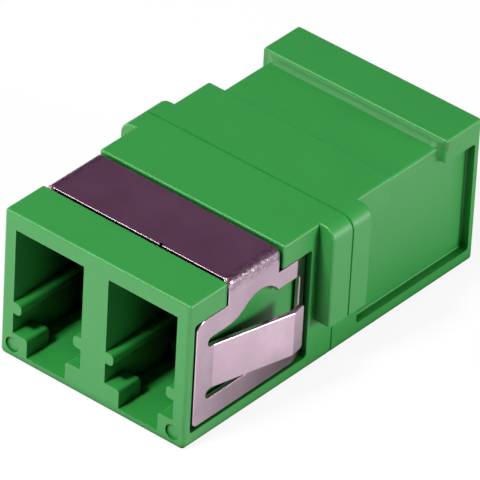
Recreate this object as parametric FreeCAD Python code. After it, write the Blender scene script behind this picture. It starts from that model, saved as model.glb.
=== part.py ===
import FreeCAD, Part
import math
import os
from FreeCAD import Vector

# Duplex fibre coupler for two pairs of small-form plugs, in millimetres.
# The coupler lies with its latch side down on Z = 0 and its mouths along Y.
# The weld seam of its two equal housing halves is the plane Y = 0, and the
# half that carries the panel clip points to -Y.

# Plug interface, the same at every port: heights stack up from the underside
PORT_PITCH = 6.25
PORT_WIDTH = 4.6
FLOOR_THICKNESS = 0.42
SHOULDER_HEIGHT = 1.13
LATCH_SPACE = 1.25
RIB_HEIGHT = 0.7
PLUG_HEIGHT = 4.5
SHOULDER_DEPTH = 1.85
SHOULDER_REAR_RADIUS = 0.4
SHOULDER_EDGE_RADIUS = 0.18
LATCH_SLOT_WIDTH = 2.62
LATCH_CHAMBER_DEPTH = 5.2
RIB_REACH = 0.53
RIB_EDGE_RADIUS = 0.25

# Outside of one housing half
HALF_LENGTH = 11.64
SIDE_WALL = 0.8
ROOF_THICKNESS = 1.0
END_WALL = 1.15
TOP_EDGE_RADIUS = 0.16
BOTTOM_CORNER_RADIUS = 0.3
MOUTH_EDGE_RADIUS = 0.18
SEAM_CHAMFER = 0.05

# Panel wings beside the seam
WING_REACH = 1.0
WING_THICKNESS = 1.53
WING_FOOT = 2.9
WING_CORNER_RADIUS = 0.8
WING_EDGE_RADIUS = 0.12

# Seat of the clip, moulded into both halves alike
SEAT_FRONT = 2.93
SEAT_LENGTH = 4.385
SEAT_CORNER_RADIUS = 0.2
SEAT_BASE_RADIUS = 0.2
SEAT_EDGE_RADIUS = 0.13
RIM_THICKNESS = 0.43
LEDGE_HEIGHT = 0.85
POCKET_DROP = 1.4
POCKET_CORNER_RADIUS = 0.2
POCKET_FLOOR_RADIUS = 0.1
PANEL_LAND = 0.5

# Round ejector marks low in the corners of each mouth face
EJECTOR_MARK_RADIUS = 0.45
EJECTOR_MARK_DEPTH = 0.12
EJECTOR_MARK_INSET = 0.8

# Zirconia split sleeve
SLEEVE_BORE_RADIUS = 0.6245
SLEEVE_WALL = 0.1855
SLEEVE_LENGTH = 6.4
SLEEVE_SLIT = 0.25
SLEEVE_SIDE_PLAY = 0.05
SLEEVE_END_PLAY = 0.05

# Sleeve holder: a square flange with a barrel that stands in the port
BARREL_WALL = 0.59
BARREL_LIP = 0.75
BARREL_LEAD_IN = 0.3
FERRULE_CLEARANCE = 0.08
HOLDER_FLANGE_WIDTH = 4.4
HOLDER_FLANGE_THICKNESS = 1.0
HOLDER_CLEARANCE = 0.05

# Panel clip, one piece of spring steel sheet folded over the top and both sides
CLIP_SHEET = 0.25
CLIP_INSET = 0.05
CLIP_HEADROOM = 0.3
CLIP_STANDOFF = 0.2
CLIP_BEND_RADIUS = 0.12
CLIP_FRONT_GAP = 0.19
CLIP_REAR_GAP = 0.22
CLIP_EDGE_GAP = 0.12
CLIP_NOSE_GAP = 0.28
CLIP_NOSE_CORNER = 0.6
CLIP_CORNER = 0.35
CLIP_EDGE_ROLL = 0.08
CLIP_NICK_WIDTH = 0.2
CLIP_NICK_DEPTH = 0.14
CLIP_NICK_PLACE = 1.53
TUCK_LENGTH = 0.94
TONGUE_HEIGHT = 2.72
TONGUE_SLOT = 0.54
TONGUE_SLOT_START = 0.95
TONGUE_ROOT = 1.39
TONGUE_FLARE_LENGTH = 5.07
TONGUE_FLARE_ANGLE = 13.9
TONGUE_TIP_LENGTH = 0.94
TONGUE_TIP_ANGLE = 9.0
TONGUE_TIP_CORNER = 0.2
WINDOW_REAR_MARGIN = 0.64
WINDOW_RISE = 0.23
WINDOW_CORNER_RADIUS = 0.25
RELIEF_RADIUS = 1.66
RELIEF_RISE = 0.98
RELIEF_SETBACK = 4.955
RELIEF_BLEND_RADIUS = 2.0

# Places that follow from the sizes above
PORT_CENTRES = (-PORT_PITCH / 2, PORT_PITCH / 2)
HALF_WIDTH = (PORT_PITCH + PORT_WIDTH) / 2 + SIDE_WALL
SHOULDER_TOP = FLOOR_THICKNESS + SHOULDER_HEIGHT
RIB_FOOT = SHOULDER_TOP + LATCH_SPACE
RIB_TOP = RIB_FOOT + RIB_HEIGHT
PORT_CEILING = RIB_TOP + PLUG_HEIGHT
BODY_HEIGHT = PORT_CEILING + ROOF_THICKNESS
FERRULE_Z = RIB_TOP + PLUG_HEIGHT / 2
MOUTH_Y = -HALF_LENGTH
PORT_END_Y = -HOLDER_FLANGE_THICKNESS - END_WALL
SLEEVE_RADIUS = SLEEVE_BORE_RADIUS + SLEEVE_WALL
BARREL_RADIUS = SLEEVE_RADIUS + SLEEVE_SIDE_PLAY + BARREL_WALL
BARREL_HOLE_RADIUS = SLEEVE_BORE_RADIUS + FERRULE_CLEARANCE
SLEEVE_STOP_Y = -SLEEVE_LENGTH / 2 - SLEEVE_END_PLAY
BARREL_TIP_Y = SLEEVE_STOP_Y - BARREL_LIP
SEAT_Y = (MOUTH_Y + SEAT_FRONT, MOUTH_Y + SEAT_FRONT + SEAT_LENGTH)
SEAT_TOP = BODY_HEIGHT - CLIP_INSET - CLIP_SHEET - CLIP_HEADROOM
SEAT_SIDE = HALF_WIDTH - CLIP_INSET - CLIP_SHEET - CLIP_STANDOFF
POCKET_Y = (MOUTH_Y + RIM_THICKNESS, -WING_THICKNESS - PANEL_LAND)
POCKET_Z = (LEDGE_HEIGHT, BODY_HEIGHT - POCKET_DROP)
CLIP_SIDE = HALF_WIDTH - CLIP_INSET
CLIP_TOP = BODY_HEIGHT - CLIP_INSET
CLIP_NOSE_Y = POCKET_Y[0] + CLIP_NOSE_GAP
CLIP_TAIL_Y = POCKET_Y[1] - CLIP_EDGE_GAP
CLIP_FOOT = POCKET_Z[0] + CLIP_EDGE_GAP
CLIP_SHOULDER = POCKET_Z[1] - CLIP_EDGE_GAP
TONGUE_Z = (CLIP_FOOT + CLIP_SHOULDER) / 2
TONGUE_LOW = TONGUE_Z - TONGUE_HEIGHT / 2
TONGUE_HIGH = TONGUE_Z + TONGUE_HEIGHT / 2
OVERSHOOT = 1.0
TOLERANCE = 1e-6


def block(x_range, y_range, z_range):
    """Plain box between two values on each axis."""
    low = Vector(x_range[0], y_range[0], z_range[0])
    return Part.makeBox(x_range[1] - x_range[0], y_range[1] - y_range[0], z_range[1] - z_range[0], low)


def rod(radius, y_range, x, z):
    """Round bar along Y."""
    return Part.makeCylinder(radius, y_range[1] - y_range[0], Vector(x, y_range[0], z), Vector(0, 1, 0))


def across(shape):
    """The same shape on the other side of the middle plane X = 0."""
    return shape.mirror(Vector(0, 0, 0), Vector(1, 0, 0))


def straight_edges(shape, axis, test):
    """Straight edges along one axis whose middle passes the test."""
    found = []
    for edge in shape.Edges:
        if edge.Curve.TypeId != "Part::GeomLine":
            continue
        if abs(abs(edge.Curve.Direction.dot(axis)) - 1) < TOLERANCE and test(edge.CenterOfMass):
            found.append(edge)
    return found


def rounded_bar(half_width, y_range, z_range, top_radius):
    """Bar along Y with rounded upper edges."""
    middle = sum(z_range) / 2
    bar = block((-half_width, half_width), y_range, z_range)
    return bar.makeFillet(top_radius, straight_edges(bar, Vector(0, 1, 0), lambda c: c.z > middle))


def housing_shell():
    """Outside of one half: a bar rounded along its underside, round its mouth and then round its top."""
    bar = block((-HALF_WIDTH, HALF_WIDTH), (MOUTH_Y, 0), (0, BODY_HEIGHT))
    underside = straight_edges(bar, Vector(0, 1, 0), lambda c: c.z < TOLERANCE)
    bar = bar.makeFillet(BOTTOM_CORNER_RADIUS, underside)
    mouth = min(bar.Faces, key=lambda face: face.CenterOfMass.y)
    rim = [edge for edge in mouth.OuterWire.Edges if edge.CenterOfMass.z < BODY_HEIGHT - TOLERANCE]
    bar = bar.makeFillet(MOUTH_EDGE_RADIUS, rim)
    top = max(bar.Faces, key=lambda face: face.CenterOfMass.z)
    outline = [edge for edge in top.OuterWire.Edges if edge.CenterOfMass.y < -TOLERANCE]
    return bar.makeFillet(TOP_EDGE_RADIUS, outline)


def wing():
    """Panel wing on the +X side."""
    tip = HALF_WIDTH + WING_REACH
    root = HALF_WIDTH - TOP_EDGE_RADIUS
    plate = block((root, tip), (-WING_THICKNESS, 0), (WING_FOOT, BODY_HEIGHT))
    outer_edges = straight_edges(plate, Vector(0, 1, 0), lambda c: c.x > HALF_WIDTH)
    upper_edge = [edge for edge in outer_edges if edge.CenterOfMass.z > BODY_HEIGHT - TOLERANCE]
    plate = plate.makeFillet(WING_CORNER_RADIUS, upper_edge)
    front = min(plate.Faces, key=lambda face: face.CenterOfMass.y)
    outline = [edge for edge in front.OuterWire.Edges if edge.CenterOfMass.x > root + TOLERANCE]
    return plate.makeFillet(WING_EDGE_RADIUS, outline)


def clip_seat():
    """Material taken away for the clip: a stepped band over the top and a pocket on each side."""
    outside = HALF_WIDTH + OVERSHOOT
    band_z = (POCKET_Z[1] - POCKET_CORNER_RADIUS, BODY_HEIGHT + OVERSHOOT)
    band = block((-outside, outside), SEAT_Y, band_z)
    band = band.cut(rounded_bar(SEAT_SIDE, SEAT_Y, (0, SEAT_TOP), SEAT_CORNER_RADIUS))
    ends = [edge for edge in band.Edges if edge.BoundBox.YLength < TOLERANCE]
    base = [edge for edge in ends if edge.CenterOfMass.z < SEAT_TOP + TOLERANCE]
    base = [edge for edge in base if abs(edge.CenterOfMass.x) < SEAT_SIDE + TOLERANCE]
    band = band.makeFillet(SEAT_BASE_RADIUS, base)
    pocket = block((SEAT_SIDE, outside), POCKET_Y, POCKET_Z)
    pocket = pocket.makeFillet(POCKET_CORNER_RADIUS, straight_edges(pocket, Vector(1, 0, 0), lambda c: True))
    floor = min(pocket.Faces, key=lambda face: face.CenterOfMass.x)
    pocket = pocket.makeFillet(POCKET_FLOOR_RADIUS, floor.OuterWire.Edges)
    return band.fuse([pocket, across(pocket)])


def seat_rim(half):
    """Upper edges of the clip's seat, across the top and down to the pocket on both sides."""
    def outside(vertex):
        return abs(vertex.X) > HALF_WIDTH - TOLERANCE or vertex.Z > BODY_HEIGHT - TOLERANCE
    crossing = [edge for edge in half.Edges if edge.BoundBox.YLength < TOLERANCE]
    crossing = [edge for edge in crossing if min(abs(edge.CenterOfMass.y - y) for y in SEAT_Y) < TOLERANCE]
    return [edge for edge in crossing if all(outside(vertex) for vertex in edge.Vertexes)]


def port(x):
    """Hollow of one port: plug channel, latch slot at the mouth and latch chamber behind its shoulders."""
    port_x = (x - PORT_WIDTH / 2, x + PORT_WIDTH / 2)
    slot_x = (x - LATCH_SLOT_WIDTH / 2, x + LATCH_SLOT_WIDTH / 2)
    latch_z = (FLOOR_THICKNESS, SHOULDER_TOP)
    before_y = MOUTH_Y - OVERSHOOT
    shoulder_y = MOUTH_Y + SHOULDER_DEPTH
    channel = block(port_x, (before_y, PORT_END_Y), (SHOULDER_TOP, PORT_CEILING))
    slot = block(slot_x, (before_y, shoulder_y), latch_z)
    chamber = block(port_x, (shoulder_y, MOUTH_Y + LATCH_CHAMBER_DEPTH), latch_z)
    return channel.fuse([slot, chamber])


def shoulder_backs(half):
    """Upper rear edges of the latch shoulders."""
    rear_y = MOUTH_Y + SHOULDER_DEPTH
    backs = straight_edges(half, Vector(1, 0, 0), lambda c: abs(c.y - rear_y) < TOLERANCE)
    return [edge for edge in backs if abs(edge.CenterOfMass.z - SHOULDER_TOP) < TOLERANCE]


def shoulder_sides(half):
    """Upper edges of the latch shoulders along the latch slots."""
    def beside_slot(centre):
        return min(abs(abs(centre.x - x) - LATCH_SLOT_WIDTH / 2) for x in PORT_CENTRES) < TOLERANCE
    sides = straight_edges(half, Vector(0, 1, 0), beside_slot)
    return [edge for edge in sides if abs(edge.CenterOfMass.z - SHOULDER_TOP) < TOLERANCE]


def guide_ribs(x):
    """Pair of ribs on the port's walls that carry the plug above its latch."""
    wall = x + PORT_WIDTH / 2
    tip = wall - RIB_REACH
    rib = block((tip, wall), (MOUTH_Y, PORT_END_Y), (RIB_FOOT, RIB_TOP))
    free_edges = straight_edges(rib, Vector(0, 1, 0), lambda c: c.x < tip + TOLERANCE)
    rib = rib.makeFillet(RIB_EDGE_RADIUS, free_edges)
    opposite = rib.mirror(Vector(x, 0, 0), Vector(1, 0, 0))
    return [rib, opposite]


def holder_room(x):
    """Room for one sleeve holder: a square pocket at the seam and a round hole for its barrel."""
    half = HOLDER_FLANGE_WIDTH / 2 + HOLDER_CLEARANCE
    flange_z = (FERRULE_Z - half, FERRULE_Z + half)
    flange = block((x - half, x + half), (-HOLDER_FLANGE_THICKNESS, OVERSHOOT), flange_z)
    hole = rod(BARREL_RADIUS + HOLDER_CLEARANCE, (PORT_END_Y - OVERSHOOT, 0), x, FERRULE_Z)
    return flange.fuse(hole)


def ejector_marks():
    """Two shallow round marks low on the mouth face."""
    depth = (MOUTH_Y - OVERSHOOT, MOUTH_Y + EJECTOR_MARK_DEPTH)
    x = HALF_WIDTH - EJECTOR_MARK_INSET
    return [rod(EJECTOR_MARK_RADIUS, depth, side * x, EJECTOR_MARK_INSET) for side in (-1, 1)]


def chamfered_seam(half):
    """Break the outer edge that meets the other half, which leaves a fine groove at the seam."""
    seam_faces = [face for face in half.Faces if abs(face.CenterOfMass.y) < TOLERANCE]
    outline = max(seam_faces, key=lambda face: face.Area).OuterWire
    return half.makeChamfer(SEAM_CHAMFER, outline.Edges)


def housing_half():
    """One moulded half, mouth at -Y and seam at Y = 0."""
    body = housing_shell().fuse([wing(), across(wing())]).removeSplitter()
    body = chamfered_seam(body)
    body = body.cut([clip_seat()] + ejector_marks())
    body = body.makeFillet(SEAT_EDGE_RADIUS, seat_rim(body))
    body = body.cut([port(x) for x in PORT_CENTRES] + [holder_room(x) for x in PORT_CENTRES])
    body = body.makeFillet(SHOULDER_REAR_RADIUS, shoulder_backs(body))
    body = body.makeFillet(SHOULDER_EDGE_RADIUS, shoulder_sides(body))
    ribs = [rib for x in PORT_CENTRES for rib in guide_ribs(x)]
    return body.fuse(ribs).removeSplitter()


def sleeve_holder(x):
    """Half of one sleeve's holder: a square flange at the seam and a barrel with a funnel in its tip."""
    half = HOLDER_FLANGE_WIDTH / 2
    flange = block((x - half, x + half), (-HOLDER_FLANGE_THICKNESS, 0), (FERRULE_Z - half, FERRULE_Z + half))
    barrel = rod(BARREL_RADIUS, (BARREL_TIP_Y, 0), x, FERRULE_Z)
    chamber = rod(SLEEVE_RADIUS + SLEEVE_SIDE_PLAY, (SLEEVE_STOP_Y, OVERSHOOT), x, FERRULE_Z)
    funnel = Part.makeCone(
        BARREL_HOLE_RADIUS + BARREL_LEAD_IN,
        BARREL_HOLE_RADIUS,
        BARREL_LIP,
        Vector(x, BARREL_TIP_Y, FERRULE_Z),
        Vector(0, 1, 0),
    )
    return flange.fuse(barrel).cut([chamber, funnel]).removeSplitter()


def split_sleeve(x):
    """Ceramic sleeve, slit along its top, that lines up the two ferrules."""
    span = (-SLEEVE_LENGTH / 2, SLEEVE_LENGTH / 2)
    tube = rod(SLEEVE_RADIUS, span, x, FERRULE_Z).cut(rod(SLEEVE_BORE_RADIUS, span, x, FERRULE_Z))
    slit = block((x - SLEEVE_SLIT / 2, x + SLEEVE_SLIT / 2), span, (FERRULE_Z, FERRULE_Z + 2 * SLEEVE_RADIUS))
    return tube.cut(slit)


def sheet(outer_points, z_range):
    """Upright sheet whose outer face follows the points in plan, with its thickness on the inner side."""
    inner_points = []
    directions = [(b - a).normalize() for a, b in zip(outer_points, outer_points[1:])]
    for index, point in enumerate(outer_points):
        before = directions[max(index - 1, 0)]
        after = directions[min(index, len(directions) - 1)]
        mitre = Vector(-before.y - after.y, before.x + after.x, 0).normalize()
        inner_points.append(point + mitre * (CLIP_SHEET / mitre.dot(Vector(-after.y, after.x, 0))))
    outline = Part.makePolygon(outer_points + inner_points[::-1] + outer_points[:1])
    outline.translate(Vector(0, 0, z_range[0]))
    return Part.Face(outline).extrude(Vector(0, 0, z_range[1] - z_range[0]))


def turned(angle, length):
    """Step of a given length that leans outward from +Y by the angle."""
    return Vector(math.sin(math.radians(angle)), math.cos(math.radians(angle)), 0) * length


def clip_band():
    """The folded strip of the clip: top plate, two bends and the necks on both sides."""
    y_range = (SEAT_Y[0] + CLIP_FRONT_GAP, SEAT_Y[1] - CLIP_REAR_GAP)
    outer_radius = CLIP_BEND_RADIUS + CLIP_SHEET
    outer = rounded_bar(CLIP_SIDE, y_range, (TONGUE_Z, CLIP_TOP), outer_radius)
    inner = rounded_bar(CLIP_SIDE - CLIP_SHEET, y_range, (TONGUE_Z, CLIP_TOP - CLIP_SHEET), CLIP_BEND_RADIUS)
    return outer.cut(inner)


def clip_plate():
    """Side plate of the clip on the +X side, with its tail tucked in against the pocket floor."""
    reach = math.hypot(TUCK_LENGTH, CLIP_SHEET)
    lean = math.asin((CLIP_SHEET + CLIP_STANDOFF) / reach) - math.atan2(CLIP_SHEET, TUCK_LENGTH)
    tuck_angle = math.degrees(lean)
    bend = Vector(CLIP_SIDE, CLIP_TAIL_Y - TUCK_LENGTH, 0)
    points = [Vector(CLIP_SIDE, CLIP_NOSE_Y, 0), bend, bend + turned(-tuck_angle, TUCK_LENGTH)]
    plate = sheet(points, (CLIP_FOOT, CLIP_SHOULDER))
    nose = straight_edges(plate, Vector(1, 0, 0), lambda c: c.y < CLIP_NOSE_Y + TOLERANCE and c.z > TONGUE_Z)
    plate = plate.makeFillet(CLIP_NOSE_CORNER, nose)
    others = straight_edges(plate, Vector(1, 0, 0), lambda c: c.y < CLIP_NOSE_Y + TOLERANCE)
    others += straight_edges(plate, turned(90 - tuck_angle, 1), lambda c: c.y > bend.y + TUCK_LENGTH / 2)
    return plate.makeFillet(CLIP_CORNER, others)


def clip_window():
    """Cut-out in a side plate: the tongue's blank, a slot on both sides of it and an arched relief above."""
    x_range = (SEAT_SIDE - OVERSHOOT, HALF_WIDTH + OVERSHOOT)
    slot_y = CLIP_NOSE_Y + TONGUE_SLOT_START
    root_y = CLIP_NOSE_Y + TONGUE_ROOT
    rear_y = CLIP_TAIL_Y - WINDOW_REAR_MARGIN
    depth = Vector(x_range[1] - x_range[0], 0, 0)
    low = TONGUE_LOW - TONGUE_SLOT
    high = TONGUE_HIGH + TONGUE_SLOT
    relief = Vector(x_range[0], CLIP_NOSE_Y + RELIEF_SETBACK, high + RELIEF_RISE - RELIEF_RADIUS)
    corners = [(root_y, low), (rear_y, low), (rear_y, high + WINDOW_RISE), (relief.y, high + WINDOW_RISE)]
    corners += [(relief.y, high), (root_y, high)]
    outline = Part.makePolygon([Vector(x_range[0], y, z) for y, z in corners + corners[:1]])
    blank = Part.Face(outline).extrude(depth)
    rear_edges = straight_edges(blank, Vector(1, 0, 0), lambda c: c.y > rear_y - TOLERANCE)
    blank = blank.makeFillet(WINDOW_CORNER_RADIUS, rear_edges)
    blank = blank.fuse(Part.makeCylinder(RELIEF_RADIUS, depth.x, relief, Vector(1, 0, 0))).removeSplitter()
    upper = straight_edges(blank, Vector(1, 0, 0), lambda c: c.z > TONGUE_Z)
    arch_start = [edge for edge in upper if root_y + TOLERANCE < edge.CenterOfMass.y < relief.y]
    blank = blank.makeFillet(RELIEF_BLEND_RADIUS, arch_start)
    cutters = []
    for z in (low + TONGUE_SLOT / 2, high - TONGUE_SLOT / 2):
        start = Vector(x_range[0], slot_y + TONGUE_SLOT / 2, z)
        cutters.append(Part.makeCylinder(TONGUE_SLOT / 2, depth.x, start, Vector(1, 0, 0)))
        cutters.append(block(x_range, (start.y, root_y), (z - TONGUE_SLOT / 2, z + TONGUE_SLOT / 2)))
    return blank.fuse(cutters)


def clip_tongue():
    """Spring tongue on the +X side: it leaves the plate at the front, flares out and turns in at its tip."""
    root = Vector(CLIP_SIDE, CLIP_NOSE_Y + TONGUE_ROOT, 0)
    start = Vector(CLIP_SIDE, CLIP_NOSE_Y + TONGUE_SLOT_START, 0)
    crest = root + turned(TONGUE_FLARE_ANGLE, TONGUE_FLARE_LENGTH)
    tip = crest + turned(-TONGUE_TIP_ANGLE, TONGUE_TIP_LENGTH)
    tongue = sheet([start, root, crest, tip], (TONGUE_LOW, TONGUE_HIGH))
    across_tip = turned(90 - TONGUE_TIP_ANGLE, 1)
    corners = straight_edges(tongue, across_tip, lambda c: c.y > crest.y + TONGUE_TIP_LENGTH / 2)
    return tongue.makeFillet(TONGUE_TIP_CORNER, corners)


def rolled_edges(clip):
    """Outline of the clip's outer skin, which the punch leaves rounded over."""
    least_cosine = 0.9
    skin_edges = []
    for face in clip.Faces:
        u_start, u_end, v_start, v_end = face.ParameterRange
        normal = face.normalAt((u_start + u_end) / 2, (v_start + v_end) / 2)
        outward = Vector(face.CenterOfMass.x, 0, face.CenterOfMass.z - TONGUE_Z).normalize()
        if normal.dot(outward) > least_cosine:
            skin_edges += face.Edges
    return [edge for edge in skin_edges if sum(edge.isSame(other) for other in skin_edges) == 1]


def carrier_nick():
    """Small nick in the front edge of the clip's top, where the blank was torn from its carrier strip."""
    x_range = (CLIP_NICK_PLACE - CLIP_NICK_WIDTH / 2, CLIP_NICK_PLACE + CLIP_NICK_WIDTH / 2)
    front_y = SEAT_Y[0] + CLIP_FRONT_GAP
    return block(x_range, (front_y - OVERSHOOT, front_y + CLIP_NICK_DEPTH), (SEAT_TOP, CLIP_TOP + OVERSHOOT))


def panel_clip():
    """The whole clip as one folded sheet."""
    plate = clip_plate()
    window = clip_window()
    tongue = clip_tongue()
    clip = clip_band().fuse([plate, across(plate)]).cut([window, across(window)])
    clip = clip.fuse([tongue, across(tongue)]).removeSplitter()
    clip = clip.makeFillet(CLIP_EDGE_ROLL, rolled_edges(clip))
    return clip.cut(carrier_nick()).Solids[0]


def turned_end_for_end(shape):
    """The same moulding at the rear end."""
    copy = shape.copy()
    copy.rotate(Vector(0, 0, 0), Vector(0, 0, 1), 180)
    return copy


os.makedirs("parts", exist_ok=True)
nodes = {"front_housing": housing_half(), "panel_clip": panel_clip()}
nodes["rear_housing"] = turned_end_for_end(nodes["front_housing"])
for side, x in zip(("left", "right"), PORT_CENTRES):
    nodes[f"alignment_sleeve_{side}"] = split_sleeve(x)
    nodes[f"front_sleeve_holder_{side}"] = sleeve_holder(x)
    nodes[f"rear_sleeve_holder_{side}"] = turned_end_for_end(sleeve_holder(-x))
for name, shape in nodes.items():
    shape.exportStep(f"parts/{name}.step")
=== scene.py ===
import math

import bpy
import numpy as np
from mathutils import Matrix, Vector

# The coupler as it is put together: sleeves in their holders, holders between the two
# housing halves, the clip over the front half, then the table, the lamps and the camera.
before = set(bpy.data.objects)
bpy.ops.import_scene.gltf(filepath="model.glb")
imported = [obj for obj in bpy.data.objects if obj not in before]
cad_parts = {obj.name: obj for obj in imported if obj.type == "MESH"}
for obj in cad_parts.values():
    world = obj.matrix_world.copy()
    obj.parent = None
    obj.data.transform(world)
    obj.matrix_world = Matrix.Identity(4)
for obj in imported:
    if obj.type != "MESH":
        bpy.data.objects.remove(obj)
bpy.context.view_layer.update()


# Alignment sleeves
# Each is a short tube of zirconia with one slit along it, ground and polished all over.
# It lies loose in its holder and grips the two ferrules that meet inside it.

ZIRCONIA_WHITES = ("#E9E6DC", "#F6F4EE")
ZIRCONIA_CLOUD_MM = 0.6
ZIRCONIA_ROUGHNESS = 0.12
ZIRCONIA_IOR = 2.1


def linear(hex_colour):
    """Linear colour of an sRGB hex value.

    Each channel c goes to ((c + 0.055) / 1.055) ^ 2.4, or to c / 12.92 near black.
    """
    srgb = np.array([int(hex_colour[i:i + 2], 16) for i in (1, 3, 5)]) / 255
    channels = np.where(srgb > 0.04045, ((srgb + 0.055) / 1.055) ** 2.4, srgb / 12.92)
    return (*channels.tolist(), 1.0)


def add_node(tree, kind, settings=None, values=None, links=None):
    """Add one node: its settings, then the values on its sockets and the links into them."""
    node = tree.nodes.new(kind)
    for name, value in (settings or {}).items():
        setattr(node, name, value)
    for socket, value in (values or {}).items():
        node.inputs[socket].default_value = value
    for socket, source in (links or {}).items():
        tree.links.new(source, node.inputs[socket])
    return node


def new_material(name):
    """Empty material, its node tree and its output node."""
    material = bpy.data.materials.new(name)
    material.use_nodes = True
    material.node_tree.nodes.clear()
    output = add_node(material.node_tree, "ShaderNodeOutputMaterial")
    return material, material.node_tree, output


def dress(node_names, material):
    """Give CAD nodes one material for all their faces."""
    for name in node_names:
        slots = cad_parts[name].data.materials
        slots.clear()
        slots.append(material)


def per_mm(size_mm):
    """Texture scale on Object coordinates for a pattern with features of that size in millimetres."""
    return 1000 / size_mm


def polished_zirconia():
    """Ground and polished zirconia: a warm white, a hard gloss and the faint clouds of a sintered body."""
    material, tree, output = new_material("polished_zirconia")
    place = add_node(tree, "ShaderNodeTexCoord").outputs["Object"]
    cloud = add_node(
        tree, "ShaderNodeTexNoise",
        values={"Scale": per_mm(ZIRCONIA_CLOUD_MM), "Detail": 3},
        links={"Vector": place},
    )
    white = add_node(
        tree, "ShaderNodeMix", {"data_type": "RGBA"},
        values={"A": linear(ZIRCONIA_WHITES[0]), "B": linear(ZIRCONIA_WHITES[1])},
        links={"Factor": cloud.outputs["Fac"]},
    )
    shader = add_node(
        tree, "ShaderNodeBsdfPrincipled",
        values={"Roughness": ZIRCONIA_ROUGHNESS, "IOR": ZIRCONIA_IOR},
        links={"Base Color": white.outputs["Result"]},
    )
    tree.links.new(shader.outputs["BSDF"], output.inputs["Surface"])
    return material


dress(["alignment_sleeve_left", "alignment_sleeve_right"], polished_zirconia())


# Sleeve holders and housing halves
# All six are injection moulded in one green PBT and come off the tool with a fine satin skin.
# The holders drop into the halves at the seam before the halves are welded together.

PBT_GREENS = ("#2A903B", "#2E9941")
PBT_FLOW_MM = 3.0
PBT_IOR = 1.6
# The eroded grain of such a tool is about 0.02 mm, too fine to show, so it is drawn coarser.
GRAIN_MM = 0.09
GRAIN_HEIGHT = 0.000004
GRAIN_RELIEF = 0.25
SKIN_ROUGHNESS = (0.38, 0.5)
SKIN_SHINE = 0.62
# Middle part of a noise pattern's values, where nearly all of them lie.
NOISE_SPREAD = (0.3, 0.7)
# Openness is the share of the sky that a point sees within a reach: 1 in the open, 0 when shut in.
# Openness and eased edges are both found with this many rays from a point.
SHADE_RAYS = 8
# The port and corner shades below are painted shade, a darkening of the green set by openness.
PORT_REACH = 0.008
PORT_OPENNESS = (0.12, 0.25)
PORT_PAINTED_SHADE = 0.03
FLOOR_LIFT = 0.12
CORNER_REACH = 0.0012
CORNER_OPENNESS = (0.25, 0.68)
CORNER_PAINTED_SHADE = 0.4
MATT_OPENNESS = (0.45, 0.75)
# The weld line lies along the seam at y = 0 and fades into the skin between these distances from it.
WELD_LINE = (0.00005, 0.00009)
WELD_SHADE = 0.8
# Each half has one step wall across its top, at the outer end of the clip's seat. The band along it
# reaches by the half depth and half height around its middle, and its green is painted darker there.
STEP_FROM_SEAM = 0.0087
STEP_HALF_DEPTH = 0.00022
STEP_HEIGHT = 0.0086
STEP_HALF_HEIGHT = 0.00028
# Painted shade on the green in the step wall band.
STEP_PAINTED_SHADE = 0.79
STEP_EASING = 0.0008


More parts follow.
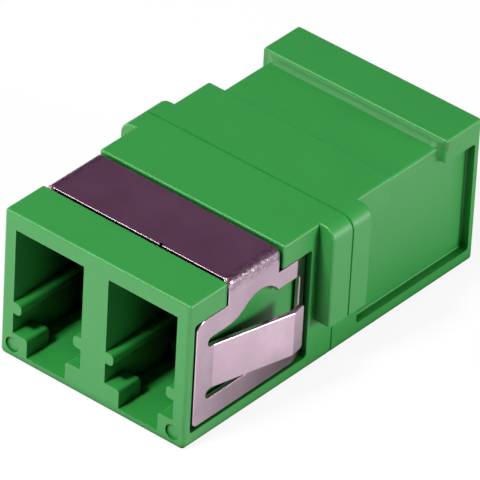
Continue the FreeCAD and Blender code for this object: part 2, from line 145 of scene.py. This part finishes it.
def moulded_pbt():
    """Dyed PBT with a satin moulded skin.

    It shows an even green with faint flow clouds, a fine spark-eroded grain that breaks up its
    reflections, and a low waxy gloss. Painted shade takes the ports to near black inside, darkens
    narrow corners, which are also matt, and darkens a band along each step wall. The weld line is
    darker and matt. All of that is set by place or by openness, so it holds from every side.
    """
    material, tree, output = new_material("moulded_green_pbt")
    place = add_node(tree, "ShaderNodeTexCoord").outputs["Object"]
    part = add_node(tree, "ShaderNodeSeparateXYZ", links={"Vector": place})
    off_seam = add_node(tree, "ShaderNodeMath", {"operation": "ABSOLUTE"}, links={0: part.outputs["Y"]})

    # Green with the clouds that the melt leaves as it flows
    flow = add_node(
        tree, "ShaderNodeTexNoise",
        values={"Scale": per_mm(PBT_FLOW_MM), "Detail": 4, "Roughness": 0.6},
        links={"Vector": place},
    )
    green = add_node(
        tree, "ShaderNodeMix", {"data_type": "RGBA"},
        values={"A": linear(PBT_GREENS[0]), "B": linear(PBT_GREENS[1])},
        links={"Factor": flow.outputs["Fac"]},
    )

    # Painted shade deep in the ports: openness, plus a little on faces that look up, such as the floors
    opening = add_node(
        tree, "ShaderNodeAmbientOcclusion", {"samples": SHADE_RAYS}, values={"Distance": PORT_REACH},
    )
    surface = add_node(tree, "ShaderNodeNewGeometry")
    facing = add_node(tree, "ShaderNodeSeparateXYZ", links={"Vector": surface.outputs["Normal"]})
    lifted = add_node(
        tree, "ShaderNodeMath", {"operation": "MULTIPLY_ADD"},
        values={1: FLOOR_LIFT},
        links={0: facing.outputs["Z"], 2: opening.outputs["AO"]},
    )
    painted_port_shade = add_node(
        tree, "ShaderNodeMapRange",
        values={
            "From Min": PORT_OPENNESS[0], "From Max": PORT_OPENNESS[1],
            "To Min": PORT_PAINTED_SHADE, "To Max": 1.0,
        },
        links={"Value": lifted.outputs["Value"]},
    )

    # Painted shade in narrow corners and gaps, where the skin is matt too
    corner = add_node(
        tree, "ShaderNodeAmbientOcclusion", {"samples": SHADE_RAYS}, values={"Distance": CORNER_REACH},
    )
    painted_corner_shade = add_node(
        tree, "ShaderNodeMapRange",
        values={
            "From Min": CORNER_OPENNESS[0], "From Max": CORNER_OPENNESS[1],
            "To Min": CORNER_PAINTED_SHADE, "To Max": 1.0,
        },
        links={"Value": corner.outputs["AO"]},
    )
    open_face = add_node(
        tree, "ShaderNodeMapRange",
        values={"From Min": MATT_OPENNESS[0], "From Max": MATT_OPENNESS[1]},
        links={"Value": corner.outputs["AO"]},
    )

    # Weld line, a little darker than the skin and without its shine
    weld_shade = add_node(
        tree, "ShaderNodeMapRange",
        values={"From Min": WELD_LINE[0], "From Max": WELD_LINE[1], "To Min": WELD_SHADE, "To Max": 1.0},
        links={"Value": off_seam.outputs["Value"]},
    )
    skin = add_node(
        tree, "ShaderNodeMapRange",
        values={"From Min": WELD_LINE[0], "From Max": WELD_LINE[1], "To Min": 0.0, "To Max": SKIN_SHINE},
        links={"Value": off_seam.outputs["Value"]},
    )
    shine = add_node(
        tree, "ShaderNodeMath", {"operation": "MULTIPLY"},
        links={0: skin.outputs["Result"], 1: open_face.outputs["Result"]},
    )

    # Step wall: 1 in a band along it and 0 elsewhere, with painted shade in that band
    at_step = add_node(
        tree, "ShaderNodeMath", {"operation": "COMPARE"},
        values={1: STEP_FROM_SEAM, 2: STEP_HALF_DEPTH},
        links={0: off_seam.outputs["Value"]},
    )
    on_top = add_node(
        tree, "ShaderNodeMath", {"operation": "COMPARE"},
        values={1: STEP_HEIGHT, 2: STEP_HALF_HEIGHT},
        links={0: part.outputs["Z"]},
    )
    step = add_node(
        tree, "ShaderNodeMath", {"operation": "MULTIPLY"},
        links={0: at_step.outputs["Value"], 1: on_top.outputs["Value"]},
    )
    painted_step_shade = add_node(
        tree, "ShaderNodeMapRange",
        values={"To Min": 1.0, "To Max": STEP_PAINTED_SHADE},
        links={"Value": step.outputs["Value"]},
    )

    # The four shades together on the green: painted shade in the ports, on the step wall and in corners, and
    # the darker weld line
    shade = painted_port_shade.outputs["Result"]
    for other in (painted_step_shade, weld_shade, painted_corner_shade):
        both = add_node(
            tree, "ShaderNodeMath", {"operation": "MULTIPLY"}, links={0: shade, 1: other.outputs["Result"]},
        )
        shade = both.outputs["Value"]
    shaded = add_node(
        tree, "ShaderNodeVectorMath", {"operation": "SCALE"},
        links={"Vector": green.outputs["Result"], "Scale": shade},
    )

    # Grain of the skin in its gloss and relief, with the step wall's shading rounded off
    grain = add_node(
        tree, "ShaderNodeTexNoise", values={"Scale": per_mm(GRAIN_MM), "Detail": 2}, links={"Vector": place},
    )
    gloss = add_node(
        tree, "ShaderNodeMapRange",
        values={
            "From Min": NOISE_SPREAD[0], "From Max": NOISE_SPREAD[1],
            "To Min": SKIN_ROUGHNESS[0], "To Max": SKIN_ROUGHNESS[1],
        },
        links={"Value": grain.outputs["Fac"]},
    )
    relief = add_node(
        tree, "ShaderNodeBump",
        values={"Strength": GRAIN_RELIEF, "Distance": GRAIN_HEIGHT},
        links={"Height": grain.outputs["Fac"]},
    )
    eased = add_node(
        tree, "ShaderNodeBevel", {"samples": SHADE_RAYS},
        values={"Radius": STEP_EASING},
        links={"Normal": relief.outputs["Normal"]},
    )
    sloped = add_node(
        tree, "ShaderNodeMix", {"data_type": "VECTOR"},
        links={"Factor": step.outputs["Value"], "A": relief.outputs["Normal"], "B": eased.outputs["Normal"]},
    )

    shader = add_node(
        tree, "ShaderNodeBsdfPrincipled",
        values={"IOR": PBT_IOR},
        links={
            "Base Color": shaded.outputs["Vector"],
            "Specular IOR Level": shine.outputs["Value"],
            "Roughness": gloss.outputs["Result"],
            "Normal": sloped.outputs["Result"],
        },
    )
    tree.links.new(shader.outputs["BSDF"], output.inputs["Surface"])
    return material


green_pbt = moulded_pbt()
dress(["front_housing", "rear_housing"], green_pbt)
dress([f"{end}_sleeve_holder_{side}" for end in ("front", "rear") for side in ("left", "right")], green_pbt)


# Panel clip
# One blank stamped from hard-rolled stainless spring strip and folded over the front half.
# Its skin keeps fine lines from the rolls and its bends are stretched and rough. Its tongues get a painted
# highlight that makes them a little brighter.

STRIP_GREYS = ("#C0A7B6", "#C8AFBE")
STRIP_ROUGHNESS = (0.16, 0.24)
# Real rolling lines are about 0.01 mm apart, too fine to show, so they are drawn 0.075 mm apart.
ROLLING_LINE_MM = 0.9
ROLLING_LINE_STRETCH = (1, 12, 1)
ROLLING_LINE_HEIGHT = 0.000003
ROLLING_LINE_RELIEF = 0.12
# The bends lie where the sheet is both far out and high up.
BEND_OUTWARD = (0.0054, 0.0059)
BEND_HEIGHT = (0.008, 0.0086)
BEND_EASING = 0.00045
# The stretched skin on a bend is finer than 0.05 mm, so its pits are drawn coarser too.
PIT_MM = 0.1
PIT_STRETCH = (1, 0.35, 1)
PIT_DEPTH = 0.000018
PIT_SPREAD = (0.4, 0.62)
PIT_SHADE = 0.55
SMUDGE_MM = 2.2
SMUDGE_SHADES = (0.88, 1.08)
# The tongues are what stands out past the side plates. A painted highlight makes their grey brighter.
TONGUE_OUTWARD = (0.0062, 0.0066)
TONGUE_PAINTED_LIGHT = 1.18


def rolled_strip():
    """Hard-rolled stainless strip.

    It shows a bright grey with a slight mauve tint, reflections drawn out along the rolling lines,
    faint smudges from handling, pitted bends, and a painted highlight that makes the tongues a little
    brighter.
    """
    material, tree, output = new_material("rolled_stainless_strip")
    place = add_node(tree, "ShaderNodeTexCoord").outputs["Object"]
    part = add_node(tree, "ShaderNodeSeparateXYZ", links={"Vector": place})
    outward = add_node(tree, "ShaderNodeMath", {"operation": "ABSOLUTE"}, links={0: part.outputs["X"]})

    # Rolling lines in the colour, gloss and relief
    stretch = add_node(
        tree, "ShaderNodeMapping", values={"Scale": ROLLING_LINE_STRETCH}, links={"Vector": place},
    )
    lines = add_node(
        tree, "ShaderNodeTexNoise",
        values={"Scale": per_mm(ROLLING_LINE_MM), "Detail": 5, "Roughness": 0.65},
        links={"Vector": stretch.outputs["Vector"]},
    )
    grey = add_node(
        tree, "ShaderNodeMix", {"data_type": "RGBA"},
        values={"A": linear(STRIP_GREYS[0]), "B": linear(STRIP_GREYS[1])},
        links={"Factor": lines.outputs["Fac"]},
    )
    gloss = add_node(
        tree, "ShaderNodeMapRange",
        values={
            "From Min": NOISE_SPREAD[0], "From Max": NOISE_SPREAD[1],
            "To Min": STRIP_ROUGHNESS[0], "To Max": STRIP_ROUGHNESS[1],
        },
        links={"Value": lines.outputs["Fac"]},
    )
    rolled = add_node(
        tree, "ShaderNodeBump",
        values={"Strength": ROLLING_LINE_RELIEF, "Distance": ROLLING_LINE_HEIGHT},
        links={"Height": lines.outputs["Fac"]},
    )

    # Bends: 1 on them and 0 elsewhere, with their shading rounded off
    far_out = add_node(
        tree, "ShaderNodeMapRange", {"interpolation_type": "SMOOTHSTEP"},
        values={"From Min": BEND_OUTWARD[0], "From Max": BEND_OUTWARD[1]},
        links={"Value": outward.outputs["Value"]},
    )
    high_up = add_node(
        tree, "ShaderNodeMapRange", {"interpolation_type": "SMOOTHSTEP"},
        values={"From Min": BEND_HEIGHT[0], "From Max": BEND_HEIGHT[1]},
        links={"Value": part.outputs["Z"]},
    )
    bend = add_node(
        tree, "ShaderNodeMath", {"operation": "MULTIPLY"},
        links={0: far_out.outputs["Result"], 1: high_up.outputs["Result"]},
    )
    eased = add_node(
        tree, "ShaderNodeBevel", {"samples": SHADE_RAYS},
        values={"Radius": BEND_EASING},
        links={"Normal": rolled.outputs["Normal"]},
    )
    curved = add_node(
        tree, "ShaderNodeMix", {"data_type": "VECTOR"},
        links={"Factor": bend.outputs["Value"], "A": rolled.outputs["Normal"], "B": eased.outputs["Normal"]},
    )

    # Pits of the stretched skin, on the bends only
    drawn = add_node(tree, "ShaderNodeMapping", values={"Scale": PIT_STRETCH}, links={"Vector": place})
    pits = add_node(
        tree, "ShaderNodeTexNoise",
        values={"Scale": per_mm(PIT_MM), "Detail": 3},
        links={"Vector": drawn.outputs["Vector"]},
    )
    relief = add_node(
        tree, "ShaderNodeBump",
        values={"Distance": PIT_DEPTH},
        links={
            "Strength": bend.outputs["Value"],
            "Height": pits.outputs["Fac"],
            "Normal": curved.outputs["Result"],
        },
    )
    pitted = add_node(
        tree, "ShaderNodeMapRange",
        values={"From Min": PIT_SPREAD[0], "From Max": PIT_SPREAD[1], "To Min": PIT_SHADE, "To Max": 1.0},
        links={"Value": pits.outputs["Fac"]},
    )
    bend_shade = add_node(
        tree, "ShaderNodeMix",
        values={"A": 1.0},
        links={"Factor": bend.outputs["Value"], "B": pitted.outputs["Result"]},
    )

    # Painted highlight on the tongues, and smudges, with the pits' shade, on the grey
    painted_tongue_light = add_node(
        tree, "ShaderNodeMapRange",
        values={
            "From Min": TONGUE_OUTWARD[0], "From Max": TONGUE_OUTWARD[1],
            "To Min": 1.0, "To Max": TONGUE_PAINTED_LIGHT,
        },
        links={"Value": outward.outputs["Value"]},
    )
    smudge = add_node(
        tree, "ShaderNodeTexNoise", values={"Scale": per_mm(SMUDGE_MM), "Detail": 3}, links={"Vector": place},
    )
    smudge_shade = add_node(
        tree, "ShaderNodeMapRange",
        values={
            "From Min": NOISE_SPREAD[0], "From Max": NOISE_SPREAD[1],
            "To Min": SMUDGE_SHADES[0], "To Max": SMUDGE_SHADES[1],
        },
        links={"Value": smudge.outputs["Fac"]},
    )
    shade = bend_shade.outputs["Result"]
    for other in (painted_tongue_light, smudge_shade):
        both = add_node(
            tree, "ShaderNodeMath", {"operation": "MULTIPLY"}, links={0: shade, 1: other.outputs["Result"]},
        )
        shade = both.outputs["Value"]
    shaded = add_node(
        tree, "ShaderNodeVectorMath", {"operation": "SCALE"},
        links={"Vector": grey.outputs["Result"], "Scale": shade},
    )

    shader = add_node(
        tree, "ShaderNodeBsdfPrincipled",
        values={"Metallic": 1.0},
        links={
            "Base Color": shaded.outputs["Vector"],
            "Roughness": gloss.outputs["Result"],
            "Normal": relief.outputs["Normal"],
        },
    )
    tree.links.new(shader.outputs["BSDF"], output.inputs["Surface"])
    return material


dress(["panel_clip"], rolled_strip())


# Table top
# A wide sheet of matt white paper that the coupler lies on. It is white to the lens, with a faint
# shade under the coupler. In reflections it carries a painted sheen, a glow that is pale in front of the
# coupler and off to its right.

TABLE_HALF_SIZE = 0.6
TABLE_DROP = 0.00002
TABLE_POINTS = 5
# Share of the light that the paper sends back onto the coupler, and into the clip's reflections.
PAPER_BOUNCE = 0.45
MIRRORED_BOUNCE = 0.36
# The front painted sheen, a glow seen only in reflections, fades out along a level direction that runs to the
# back and to the right.
FRONT_PAINTED_SHEEN = 1.08
FRONT_SHEEN_DIRECTION = (0.62, 0.78, 0)
FRONT_SHEEN_FADE = (-0.015, 0.004)
# The side painted sheen, a glow seen only in reflections, sets in to the right of the coupler.
SIDE_PAINTED_SHEEN = 0.62
SIDE_SHEEN_RISE = (0.008, 0.012)
# Share of the paper's white, as the lens sees it, that the coupler's shadow can take away.
PAPER_SHADE = 0.1


def paper_sheet():
    """Flat square grid: x and y run over the two parameters, z is constant."""
    steps = np.linspace(-1, 1, TABLE_POINTS)
    u, v = np.meshgrid(steps, steps, indexing="ij")
    points = np.stack([u * TABLE_HALF_SIZE, v * TABLE_HALF_SIZE, np.full_like(u, -TABLE_DROP)], axis=-1)
    index = np.arange(TABLE_POINTS ** 2).reshape(TABLE_POINTS, TABLE_POINTS)
    quads = np.stack([index[:-1, :-1], index[1:, :-1], index[1:, 1:], index[:-1, 1:]], axis=-1)
    mesh = bpy.data.meshes.new("table_top")
    mesh.from_pydata(points.reshape(-1, 3).tolist(), [], quads.reshape(-1, 4).tolist())
    return mesh


def white_paper():
    """Matt white paper with three looks.

    To the lens it is white with a faint shade under the coupler. As a source of light it is a mid
    grey. In reflections it is a little darker, with the front and side painted sheens added, a glow seen only
    there.
    """
    material, tree, output = new_material("white_paper")
    path = add_node(tree, "ShaderNodeLightPath")
    place = add_node(tree, "ShaderNodeTexCoord").outputs["Object"]

    # Grey that lights the coupler
    bounce = add_node(
        tree, "ShaderNodeBsdfDiffuse", values={"Color": (PAPER_BOUNCE, PAPER_BOUNCE, PAPER_BOUNCE, 1)},
    )

    # Grey and painted sheen in reflections
    dull = add_node(
        tree, "ShaderNodeBsdfDiffuse",
        values={"Color": (MIRRORED_BOUNCE, MIRRORED_BOUNCE, MIRRORED_BOUNCE, 1)},
    )
    ahead = add_node(
        tree, "ShaderNodeVectorMath", {"operation": "DOT_PRODUCT"},
        values={1: FRONT_SHEEN_DIRECTION},
        links={0: place},
    )
    painted_front_sheen = add_node(
        tree, "ShaderNodeMapRange",
        values={
            "From Min": FRONT_SHEEN_FADE[0], "From Max": FRONT_SHEEN_FADE[1],
            "To Min": FRONT_PAINTED_SHEEN, "To Max": 0.0,
        },
        links={"Value": ahead.outputs["Value"]},
    )
    across = add_node(tree, "ShaderNodeSeparateXYZ", links={"Vector": place})
    painted_side_sheen = add_node(
        tree, "ShaderNodeMapRange",
        values={
            "From Min": SIDE_SHEEN_RISE[0], "From Max": SIDE_SHEEN_RISE[1],
            "To Min": 0.0, "To Max": SIDE_PAINTED_SHEEN,
        },
        links={"Value": across.outputs["X"]},
    )
    both_painted_sheens = add_node(
        tree, "ShaderNodeMath", {"operation": "ADD"},
        links={0: painted_front_sheen.outputs["Result"], 1: painted_side_sheen.outputs["Result"]},
    )
    sheen = add_node(tree, "ShaderNodeEmission", links={"Strength": both_painted_sheens.outputs["Value"]})
    mirrored = add_node(
        tree, "ShaderNodeAddShader", links={0: dull.outputs["BSDF"], 1: sheen.outputs["Emission"]},
    )

    # White to the lens, less the coupler's shade
    shade = add_node(
        tree, "ShaderNodeBsdfDiffuse", values={"Color": (PAPER_SHADE, PAPER_SHADE, PAPER_SHADE, 1)},
    )
    white = add_node(tree, "ShaderNodeEmission", values={"Strength": 1 - PAPER_SHADE})
    seen = add_node(
        tree, "ShaderNodeAddShader", links={0: shade.outputs["BSDF"], 1: white.outputs["Emission"]},
    )

    by_gloss = add_node(
        tree, "ShaderNodeMixShader",
        links={0: path.outputs["Is Glossy Ray"], 1: bounce.outputs["BSDF"], 2: mirrored.outputs["Shader"]},
    )
    by_lens = add_node(
        tree, "ShaderNodeMixShader",
        links={0: path.outputs["Is Camera Ray"], 1: by_gloss.outputs["Shader"], 2: seen.outputs["Shader"]},
    )
    tree.links.new(by_lens.outputs["Shader"], output.inputs["Surface"])
    return material


table = bpy.data.objects.new("table_top", paper_sheet())
table.data.materials.append(white_paper())
bpy.context.scene.collection.objects.link(table)


# Lamps
# Five small soft boxes on one sphere around the coupler: the main one high in front of the ports with
# a weak one above it and one to its left, a low fill on the left, and a low fill on the right side.

LAMP_AIM = Vector((0, 0, 0.004))
LAMP_DISTANCE = 0.3
LAMPS = {
    "main_box": {"azimuth": 258, "elevation": 52, "size": 0.05, "power": 0.81},
    "high_lamp": {"azimuth": 258, "elevation": 73, "size": 0.05, "power": 0.05},
    "edge_lamp": {"azimuth": 226, "elevation": 42, "size": 0.05, "power": 0.09},
    "left_fill": {"azimuth": 205, "elevation": 10, "size": 0.08, "power": 0.25},
    "right_fill": {"azimuth": 21, "elevation": 12, "size": 0.09, "power": 0.67},
}


def soft_box(name, azimuth, elevation, size, power):
    """Square area lamp on the lamps' sphere, turned to face their aim.

    In degrees, azimuth runs anticlockwise from +X seen from above, and elevation up from the table.
    """
    a = math.radians(azimuth)
    e = math.radians(elevation)
    direction = Vector((math.cos(a) * math.cos(e), math.sin(a) * math.cos(e), math.sin(e)))
    lamp = bpy.data.lights.new(name, "AREA")
    lamp.shape = "SQUARE"
    lamp.size = size
    lamp.energy = power
    box = bpy.data.objects.new(name, lamp)
    turn = (-direction).to_track_quat("-Z", "Y").to_matrix().to_4x4()
    box.matrix_world = Matrix.Translation(LAMP_AIM + direction * LAMP_DISTANCE) @ turn
    bpy.context.scene.collection.objects.link(box)


for lamp_name, lamp_settings in LAMPS.items():
    soft_box(lamp_name, **lamp_settings)


# Room
# A dim mauve grey room that adds little light. In reflections it is dark on the left, which the clip's
# top mirrors, and paler on the right. The lens sees plain white.

ROOM_MAUVE = "#6E596A"
ROOM_STRENGTH = 0.3
LEFT_WALL_MAUVE = "#73596E"
RIGHT_WALL_GREY = "#A69BA4"
LEFT_TO_RIGHT = (-0.2, 0.7)
LENS_WHITE = "#FFFFFF"


def studio_room():
    """World with three looks: the dim room as a light, its walls in reflections and white to the lens."""
    world = bpy.data.worlds.new("studio")
    world.use_nodes = True
    tree = world.node_tree
    tree.nodes.clear()
    output = add_node(tree, "ShaderNodeOutputWorld")
    path = add_node(tree, "ShaderNodeLightPath")
    direction = add_node(tree, "ShaderNodeTexCoord").outputs["Generated"]
    dim = add_node(
        tree, "ShaderNodeBackground", values={"Color": linear(ROOM_MAUVE), "Strength": ROOM_STRENGTH},
    )
    sideways = add_node(tree, "ShaderNodeSeparateXYZ", links={"Vector": direction})
    rightward = add_node(
        tree, "ShaderNodeMapRange",
        values={"From Min": LEFT_TO_RIGHT[0], "From Max": LEFT_TO_RIGHT[1]},
        links={"Value": sideways.outputs["X"]},
    )
    walls = add_node(
        tree, "ShaderNodeMix", {"data_type": "RGBA"},
        values={"A": linear(LEFT_WALL_MAUVE), "B": linear(RIGHT_WALL_GREY)},
        links={"Factor": rightward.outputs["Result"]},
    )
    mirrored = add_node(tree, "ShaderNodeBackground", links={"Color": walls.outputs["Result"]})
    white = add_node(tree, "ShaderNodeBackground", values={"Color": linear(LENS_WHITE)})
    by_gloss = add_node(
        tree, "ShaderNodeMixShader",
        links={
            0: path.outputs["Is Glossy Ray"],
            1: dim.outputs["Background"],
            2: mirrored.outputs["Background"],
        },
    )
    by_lens = add_node(
        tree, "ShaderNodeMixShader",
        links={
            0: path.outputs["Is Camera Ray"],
            1: by_gloss.outputs["Shader"],
            2: white.outputs["Background"],
        },
    )
    tree.links.new(by_lens.outputs["Shader"], output.inputs["Surface"])
    return world


bpy.context.scene.world = studio_room()
bpy.context.scene.view_settings.view_transform = "Standard"


# Camera
# A long lens in front of the coupler, to its right and above it, turned a little about its own axis.
# Its place and focal length come from a fit to the photograph's outlines.

CAMERA_AZIMUTH = math.radians(38.4931)
CAMERA_ELEVATION = math.radians(35.292)
CAMERA_ROLL = math.radians(3.1958)
CAMERA_DISTANCE = 0.4104292
CAMERA_TARGET = Vector((-0.0011295, 0.001265, 0.002913))
CAMERA_NEAREST = 0.01
FOCAL_PIXELS = 7892.63
IMAGE_PIXELS = 480
SENSOR_MM = 36

camera_data = bpy.data.cameras.new("photo_camera")
camera_data.sensor_width = SENSOR_MM
camera_data.lens = FOCAL_PIXELS / IMAGE_PIXELS * SENSOR_MM
camera_data.clip_start = CAMERA_NEAREST
camera = bpy.data.objects.new("photo_camera", camera_data)
back = Vector((
    math.sin(CAMERA_AZIMUTH) * math.cos(CAMERA_ELEVATION),
    -math.cos(CAMERA_AZIMUTH) * math.cos(CAMERA_ELEVATION),
    math.sin(CAMERA_ELEVATION),
))
right = Vector((math.cos(CAMERA_AZIMUTH), math.sin(CAMERA_AZIMUTH), 0))
up = back.cross(right)
rolled_right = math.cos(CAMERA_ROLL) * right + math.sin(CAMERA_ROLL) * up
rolled_up = math.cos(CAMERA_ROLL) * up - math.sin(CAMERA_ROLL) * right
turn = Matrix((rolled_right, rolled_up, back)).transposed().to_4x4()
camera.matrix_world = Matrix.Translation(CAMERA_TARGET + back * CAMERA_DISTANCE) @ turn
bpy.context.scene.collection.objects.link(camera)
bpy.context.scene.camera = camera
